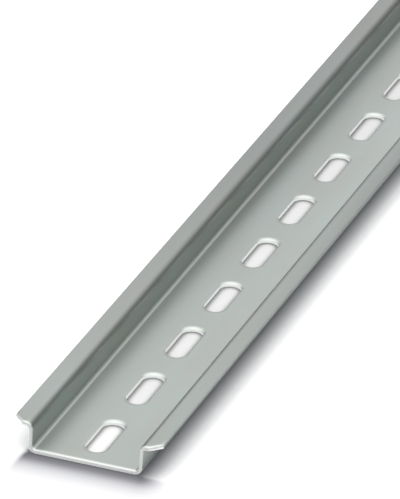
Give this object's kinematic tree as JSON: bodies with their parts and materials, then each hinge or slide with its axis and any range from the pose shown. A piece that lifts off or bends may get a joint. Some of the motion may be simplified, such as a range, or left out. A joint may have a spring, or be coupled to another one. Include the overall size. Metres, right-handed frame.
{
  "type": "din rail",
  "caption": "Slotted top-hat mounting rail, roll-formed from zinc-plated steel strip; devices clip onto its two lips and screws through its slots fix it to a panel.",
  "frame": {"origin": "middle of the rail's length and width, on the back face of the web, which is the face that lies on the panel", "axes": "+X along the rail, +Y across it towards one lip, +Z from the back of the web towards the open side and the tops of the lips"},
  "size_m": [0.5, 0.035, 0.0075],
  "materials": {
    "zinc_plated_steel": "satin"
  },
  "bodies": {
    "root": {"rail": "zinc_plated_steel"}
  },
  "joints": []
}
